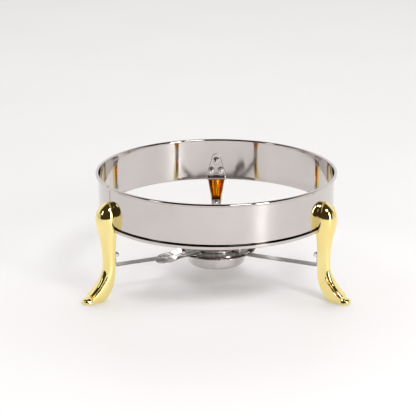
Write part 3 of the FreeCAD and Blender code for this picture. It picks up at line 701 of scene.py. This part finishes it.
def rivetShape(x, y, low, high, headRadius=2.9, headHeight=0.8, shank=1.5):
    # two low round heads, each a slice of a sphere, on a straight shank
    sphere = (headRadius**2 + headHeight**2) / (2 * headHeight)
    tilt = np.linspace(0, math.degrees(math.asin(headRadius / sphere)), 8)
    cap = np.stack([sphere * np.sin(np.radians(tilt)),
                    sphere * np.cos(np.radians(tilt)) - sphere + headHeight], 1)
    upper = np.stack([cap[:, 0], high + cap[:, 1]], 1)
    lower = np.stack([cap[::-1, 0], low - cap[::-1, 1]], 1)
    profile = np.concatenate([upper, [(shank, high), (shank, low)], lower])
    return moved(revolve(profile, 32), x, y, 0)


addPiece("burnerTray", trayShape(), "stand", ["burner_tray"], polishedSteel)
oneArm = armShape()
armStudLevel = trayLow + arm["rise"] + arm["studAbove"]
oneArmNut = moved(nutShape(armNut), ring["inner"] - leg["inset"] - arm["thickness"], 0, armStudLevel)
for side, angle in sides.items():
    addPiece(f"arm{side.title()}", turned(oneArm, angle), "stand",
             [f"arm_{side}"], rolledStrap)
    addPiece(f"armNut{side.title()}", turned(oneArmNut, angle), "stand",
             [f"arm_dome_nut_{side}"], platedFastener, 30)
armRivetX = (arm["innerEnd"] + tray["radius"] - tray["hem"]) / 2
trayRivets = joined([
    turned(rivetShape(armRivetX, y, trayLow - arm["thickness"], trayLow + tray["sheet"]), angle)
    for angle in sides.values() for y in (-arm["rivetSide"], arm["rivetSide"])])
addPiece("trayRivets", trayRivets, "stand", ["tray_rivets"], platedFastener)
print("tray and arms made")


cup = {"radius": 46.5, "draft": 2.0, "corner": 5.0, "sheet": 0.6, "flange": 50.0, "opening": 26.0,
       "collar": 3.5, "floorRise": 0.9}
cupLow, cupHigh = levels("burner_cup")
plateLow, plateHigh = cupHigh, cupHigh + cup["sheet"]
handles = {"angle": 223.0, "sheet": 1.0, "rivetX": 42.0, "rivetHalfGap": 7.0, "burnerRise": 2.5,
           "snufferRise": 7.2, "snufferRivets": (16, 26), "dish": 0.6}


def cupShape():
    # drawn cup: floor, rounded corner, slightly sloping wall and flange, then the same inside
    c = cup
    foot, wall, sheet, low = c["radius"] - c["draft"], c["radius"], c["sheet"], cupLow
    trayTop, floor = cupHigh - sheet, low + c["floorRise"]
    outside = np.concatenate([
        [(0, floor), (foot - 14, floor), (foot - 12.6, low)],
        arc(foot - c["corner"], low + c["corner"], c["corner"], -90, 0, 12),
        np.stack([np.linspace(foot, wall, 8)[1:], np.linspace(low + c["corner"], trayTop, 8)[1:]], 1),
        [(c["flange"] - 0.2, trayTop), (c["flange"], trayTop + 0.2), (c["flange"], cupHigh)]])
    inside = np.concatenate([
        [(wall - sheet, cupHigh)],
        arc(foot - c["corner"], low + c["corner"], c["corner"] - sheet, 0, -90, 12),
        [(foot - 12.6, low + sheet), (foot - 14, floor + sheet), (0, floor + sheet)]])
    return revolve(np.concatenate([outside, inside]), 160)


def topPlateShape():
    # the cup's cover, its opening's edge turned down over a small radius
    c = cup
    bend = 1.4
    inner, sheet = c["opening"], c["sheet"]
    low, high = plateLow, plateHigh
    profile = np.concatenate([
        [(c["flange"], low), (c["flange"], high - 0.2), (c["flange"] - 0.2, high)],
        arc(inner + bend, high - bend, bend, 90, 180, 8),
        [(inner, high - c["collar"]), (inner + sheet, high - c["collar"])],
        arc(inner + bend, high - bend, bend - sheet, 180, 90, 6)])
    return revolve(profile, 160, True)


def handleShape(corners, half, dishDepth, dishFrom):
    # a strip whose half width follows its reach, with a shallow dish in its broad end
    path = route(corners, 1.2)
    tip = path[-1, 0]
    last = tip - (1 - np.cos(np.radians(np.linspace(0, 88, 14)))) * 4
    stops = np.unique(np.concatenate([path[:, 0], last]))
    path = np.stack([stops, np.interp(stops, path[:, 0], path[:, 1])], 1)
    width = half(stops)
    dish = dishDepth * np.clip((stops - dishFrom) / 10, 0, 1)**2 * np.clip((tip - stops) / 8, 0, 1)
    return strip(path, width, handles["sheet"], 18, 6, dish)


def taperedWidth(points, widest, tip, half):
    # smooth between the given half widths, then a quarter of an ellipse to the tip
    known = np.array(points, float)

    def width(x):
        inside = smoothRows(known[:, 1:], known[:, 0], np.clip(x, known[0, 0], known[-1, 0]))[:, 0]
        tipHalf = half * roundEnd(np.clip(x - widest, 0, None), tip - widest)
        return np.where(x > widest, tipHalf, inside)
    return width


addPiece("burnerCup", cupShape(), "burner", ["burner_cup"], pressedSteel)
addPiece("burnerTopPlate", topPlateShape(), "burner", ["burner_top_plate"], pressedSteel)

h = handles["sheet"] / 2
burnerWidth = taperedWidth(
    [(38, 9.6), (39.5, 11), (46, 11), (62, 6.5), (70, 6.5), (92, 11.2), (104, 13), (110, 13)], 104, 122, 13)
burnerHandle = handleShape([
    (38, plateHigh + h, 0), (66, plateHigh + h, 14), (84, plateHigh + handles["burnerRise"] + h, 14),
    (122, plateHigh + handles["burnerRise"] + h, 0)], burnerWidth, handles["dish"], 88)
addPiece("burnerHandle", turned(burnerHandle, handles["angle"]), "burner",
         ["burner_handle"], pressedSteel)
burnerRivets = joined([
    rivetShape(handles["rivetX"], y, plateLow, plateHigh + handles["sheet"])
    for y in (-handles["rivetHalfGap"], handles["rivetHalfGap"])])
addPiece("burnerHandleRivets", turned(burnerRivets, handles["angle"]), "burner",
         ["burner_handle_rivets"], platedFastener)

wick = {"gap": 1.7, "topRound": 2.5, "footRound": 5, "below": 0.15, "crown": 0.5, "uneven": 0.12}
wickLow, wickHigh = levels("wick_pad")
wickRadius = cup["radius"] - cup["draft"] - wick["gap"]


def wickShape():
    # a round pad, softly rounded at its edges and a little uneven on top
    topRound, footRound, low = wick["topRound"], wick["footRound"], wickLow + 0.1
    crown = np.linspace(0, wickRadius - topRound, 26)
    top = wickHigh - wick["below"] - wick["crown"] * (crown / wickRadius)**4
    profile = np.concatenate([
        np.stack([crown, top], 1), arc(wickRadius - topRound, wickHigh - 3.2, topRound, 88, 0, 10),
        arc(wickRadius - footRound, low + footRound, footRound, 0, -90, 12), [(0, low)]])
    points, faces, local = revolve(profile, 120)
    uneven = np.sin(points[:, 0] * 0.9) * np.sin(points[:, 1] * 0.8 + 1) * wick["uneven"]
    points[:, 2] -= np.where(points[:, 2] > wickHigh - 1.5, wick["uneven"] + uneven, 0)
    return points, faces, local


wickPad = addPiece("wickPad", wickShape(), "burner", ["wick_pad"], wickFibre)

spacerLow, spacerHigh = levels("snuffer_pivot_spacer")
pivotLow, pivotHigh = levels("snuffer_pivot_rivet")
(pivotMinX, pivotMinY, _), (pivotMaxX, pivotMaxY, _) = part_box("snuffer_pivot_rivet")
pivotX = ((pivotMinX + pivotMaxX) / 2 - axisX) / mm
pivotY = ((pivotMinY + pivotMaxY) / 2 - axisY) / mm
pivotPiece = {"shank": 1.5, "radius": 4.0, "ease": 0.2, "headHeight": 1.2,
              "footRadius": 2.9, "footHeight": 0.8}
shank, outside, ease = pivotPiece["shank"], pivotPiece["radius"], pivotPiece["ease"]
spacer = revolve([
    (shank, spacerLow), (outside - ease, spacerLow), (outside, spacerLow + ease),
    (outside, spacerHigh - ease), (outside - ease, spacerHigh), (shank, spacerHigh)], 48, True)
addPiece("snufferPivotSpacer", moved(spacer, pivotX, pivotY, 0), "burner",
         ["snuffer_pivot_spacer"], platedFastener)
pivotHead, pivotFoot = pivotHigh - pivotPiece["headHeight"], pivotLow + pivotPiece["footHeight"]
pivot = revolve(np.concatenate([
    [(0, pivotHigh), (2.6, pivotHigh)], arc(3.0, pivotHigh - 0.9, 0.9, 80, 0, 8) + [0.1, 0],
    [(outside, pivotHead), (shank, pivotHead), (shank, pivotFoot), (pivotPiece["footRadius"], pivotFoot)],
    arc(2.2, pivotLow + 0.7, 0.7, 0, -90, 6), [(0, pivotLow)]]), 48)
addPiece("snufferPivotRivet", moved(pivot, pivotX, pivotY, 0), "burner",
         ["snuffer_pivot_rivet"], platedFastener)
print("burner made")


lidLow, lidHigh = levels("snuffer_lid")
lid = {"radius": 34.0, "sheet": 0.7, "round": 1.2, "ear": 7.0, "earOverlap": 3, "dip": 0.25,
       "dipFrom": 0.60, "dipTo": 0.55}


def lidShape():
    # a disc, dipped a little in its middle, with a rounded edge and a short skirt, and an ear at the pivot
    r, sheet, bend = lid["radius"], lid["sheet"], lid["round"]
    low, high, dip = lidLow, lidHigh, lidHigh - lid["dip"]
    profile = np.concatenate([
        [(0, dip), (r * lid["dipTo"], dip), (r * lid["dipFrom"], high)],
        arc(r - bend, high - bend, bend, 90, 0, 8),
        [(r, low), (r - sheet, low)],
        arc(r - bend, high - bend, bend - sheet, 0, 90, 6),
        [(r * lid["dipFrom"], high - sheet), (r * lid["dipTo"], dip - sheet), (0, dip - sheet)]])
    disc = revolve(profile, 160)
    reach = math.hypot(pivotX, pivotY)
    away = math.degrees(math.atan2(pivotY, pivotX))
    tip = reach + lid["ear"] * np.sin(np.radians(np.linspace(0, 88, 14)))[1:]
    s = np.concatenate([np.linspace(r - lid["earOverlap"], reach, 10), tip])
    half = np.where(s > reach, lid["ear"] * roundEnd(s - reach, lid["ear"]), lid["ear"])
    ear = strip(np.stack([s, np.full_like(s, high - sheet / 2)], 1), half, sheet, 12, 6)
    return joined([disc, turned(ear, away)])


addPiece("snufferLid", lidShape(), "snuffer", ["snuffer_lid"], pressedSteel)
snufferWidth = taperedWidth(
    [(10, 5.4), (11.5, 6.5), (20, 6.5), (36, 6.5), (72, 6.5), (91, 8.6), (103, 10), (110, 10)], 103, 119, 10)
snufferHandle = handleShape([
    (10, lidHigh + h, 0), (71, lidHigh + h, 6), (79, lidHigh + handles["snufferRise"] + h, 6),
    (119, lidHigh + handles["snufferRise"] + h, 0)], snufferWidth, handles["dish"], 86)
addPiece("snufferHandle", turned(snufferHandle, handles["angle"]), "snuffer",
         ["snuffer_handle"], pressedSteel)
snufferRivets = joined([
    rivetShape(x, 0, lidHigh - lid["sheet"], lidHigh + handles["sheet"]) for x in handles["snufferRivets"]])
addPiece("snufferHandleRivets", turned(snufferRivets, handles["angle"]), "snuffer",
         ["snuffer_handle_rivets"], platedFastener)
print("snuffer made")


# CAD nodes that stay in sight keep their shape and take these finishes
kept = {"wick_gauze": gauzeSteel}
for side in sides:
    kept[f"leg_studs_{side}"] = platedFastener
    kept[f"arm_stud_{side}"] = platedFastener
for node, finish in kept.items():
    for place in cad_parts[node].material_slots:
        place.material = finish


table = {"half": 7000, "corners": 9, "gap": 0.05}


def tableShape():
    # a flat square on a grid, just below the soles
    side = np.linspace(-table["half"], table["half"], table["corners"])
    x, y = np.meshgrid(side, side, indexing="ij")
    points = np.stack([x, y, 0 * x - table["gap"]], -1).reshape(-1, 3)
    return points, gridFaces(table["corners"], table["corners"], False, False)


tablePoints, tableFaces = tableShape()
tableMesh = bpy.data.meshes.new("tableTop")
tableMesh.from_pydata((tablePoints * mm).tolist(), [], tableFaces.tolist())
tableMesh.materials.append(makeTableTop())
tableTop = bpy.data.objects.new("tableTop", tableMesh)
scene.collection.objects.link(tableTop)


def addSoftbox(name, place, target, width, height, power, tint, seen):
    # a rectangle of light turned to its target; one that isn't seen leaves no reflection
    lamp = bpy.data.lights.new(name, "AREA")
    lamp.shape, lamp.size, lamp.size_y = "RECTANGLE", width, height
    lamp.energy, lamp.color = power, tint
    box = bpy.data.objects.new(name, lamp)
    box.location = place
    box.rotation_euler = (Vector(target) - Vector(place)).to_track_quat("-Z", "Y").to_euler()
    box.visible_glossy = seen
    scene.collection.objects.link(box)


softboxes = {
    "overheadLight": {"place": (0.2, 1.5, 3.6), "target": (0, 0.3, 0), "width": 6.5, "height": 6.5,
                      "power": 152, "tint": (1, 0.985, 0.98), "seen": False},
    "rightSoftbox": {"place": (3.07, -3.29, 1.5), "target": (0, 0, 0.15), "width": 0.85, "height": 2.6,
                     "power": 66, "tint": (1, 0.985, 0.975), "seen": True},
    "leftSoftbox": {"place": (-2.2, -1.3, 1.5), "target": (0, 0, 0.1), "width": 0.5, "height": 0.9,
                    "power": 5, "tint": (1, 0.99, 0.99), "seen": True},
    "frontSoftbox": {"place": (0.95, -1.85, 2.5), "target": (0, 0, 0.1), "width": 0.9, "height": 0.6,
                     "power": 20, "tint": (1, 1, 1), "seen": True},
    "lowFill": {"place": (0, -3.0, 1.2), "target": (0, 0, 0), "width": 3.0, "height": 1.5,
                "power": 30, "tint": (1, 0.99, 0.985), "seen": False},
}
for name, softbox in softboxes.items():
    addSoftbox(name, **softbox)



class Room(Finish):
    # the room round the table: pale behind and far out at the sides, dark in front and overhead
    def __init__(self):
        self.world = bpy.data.worlds.new("room")
        self.world.use_nodes = True
        self.tree = self.world.node_tree
        self.tree.nodes.clear()

    def painted(self):
        x, y, z = self.parts(self.add("ShaderNodeTexCoord", output="Generated"))
        look = {"dark": colour(0.048, 0.034, 0.022), "pale": colour(0.90, 0.895, 0.90),
                "sides": 0.75, "overhead": 0.85}
        behind = y.between(0.08, 0.50)
        beside = (x * x).between(0.84, 0.97) * look["sides"]
        pale = self.larger(behind, beside) * (1.0 - z.between(0.62, 0.90) * look["overhead"])
        tone = self.mixed(pale, look["dark"], look["pale"])
        shine = self.add("ShaderNodeBackground", None, {"Color": tone})
        last = self.tree.nodes.new("ShaderNodeOutputWorld")
        self.tree.links.new(shine.socket, last.inputs["Surface"])
        return self.world

    def larger(self, first, second):
        return first.maths("MAXIMUM", first, second)


scene.world = Room().painted()

# the camera stands twelve bead radii from the bead's middle, a little above it
view = {"rise": 15.9, "radii": 12.0, "lens": 123.5, "pitch": 72.60, "turn": 0.311, "roll": 0.12}
beadRadius = (ring["inner"] + ring["bead"]) * mm
beadLevel = (ring["top"] - ring["bead"]) * mm
reach = view["radii"] * beadRadius
rise = math.radians(view["rise"])
cameraData = bpy.data.cameras.new("camera")
cameraData.lens, cameraData.sensor_width = view["lens"], 36.0
camera = bpy.data.objects.new("camera", cameraData)
camera.location = (axisX, axisY - reach * math.cos(rise), beadLevel + reach * math.sin(rise))
camera.rotation_euler = Euler([math.radians(view[k]) for k in ("pitch", "roll", "turn")])
scene.collection.objects.link(camera)
scene.camera = camera
print("table, light and camera made")
